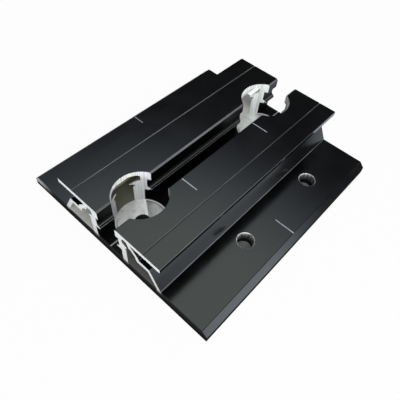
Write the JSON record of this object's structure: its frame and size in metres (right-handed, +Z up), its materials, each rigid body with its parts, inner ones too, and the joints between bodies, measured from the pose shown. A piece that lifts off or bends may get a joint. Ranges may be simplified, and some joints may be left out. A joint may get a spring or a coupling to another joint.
{
  "type": "solar roof mount base",
  "caption": "Black extruded aluminium roof mount base: hollow flanged rails beside a bolt channel with round head pockets, on a drilled plate with a rubber sealing pad.",
  "frame": {"origin": "middle of the sealing pad's underside, which lies on the roof", "axes": "+Z up, away from the roof; +Y along the rails, away from the end nearest the camera; +X across the rails"},
  "size_m": [0.091, 0.1, 0.0211],
  "materials": {
    "anodised": "satin black anodised, with bright cut ends, pockets and hole rims",
    "rubber": "matt black"
  },
  "bodies": {
    "root": {"mount_base": "anodised", "sealing_pad": "rubber"}
  },
  "joints": []
}
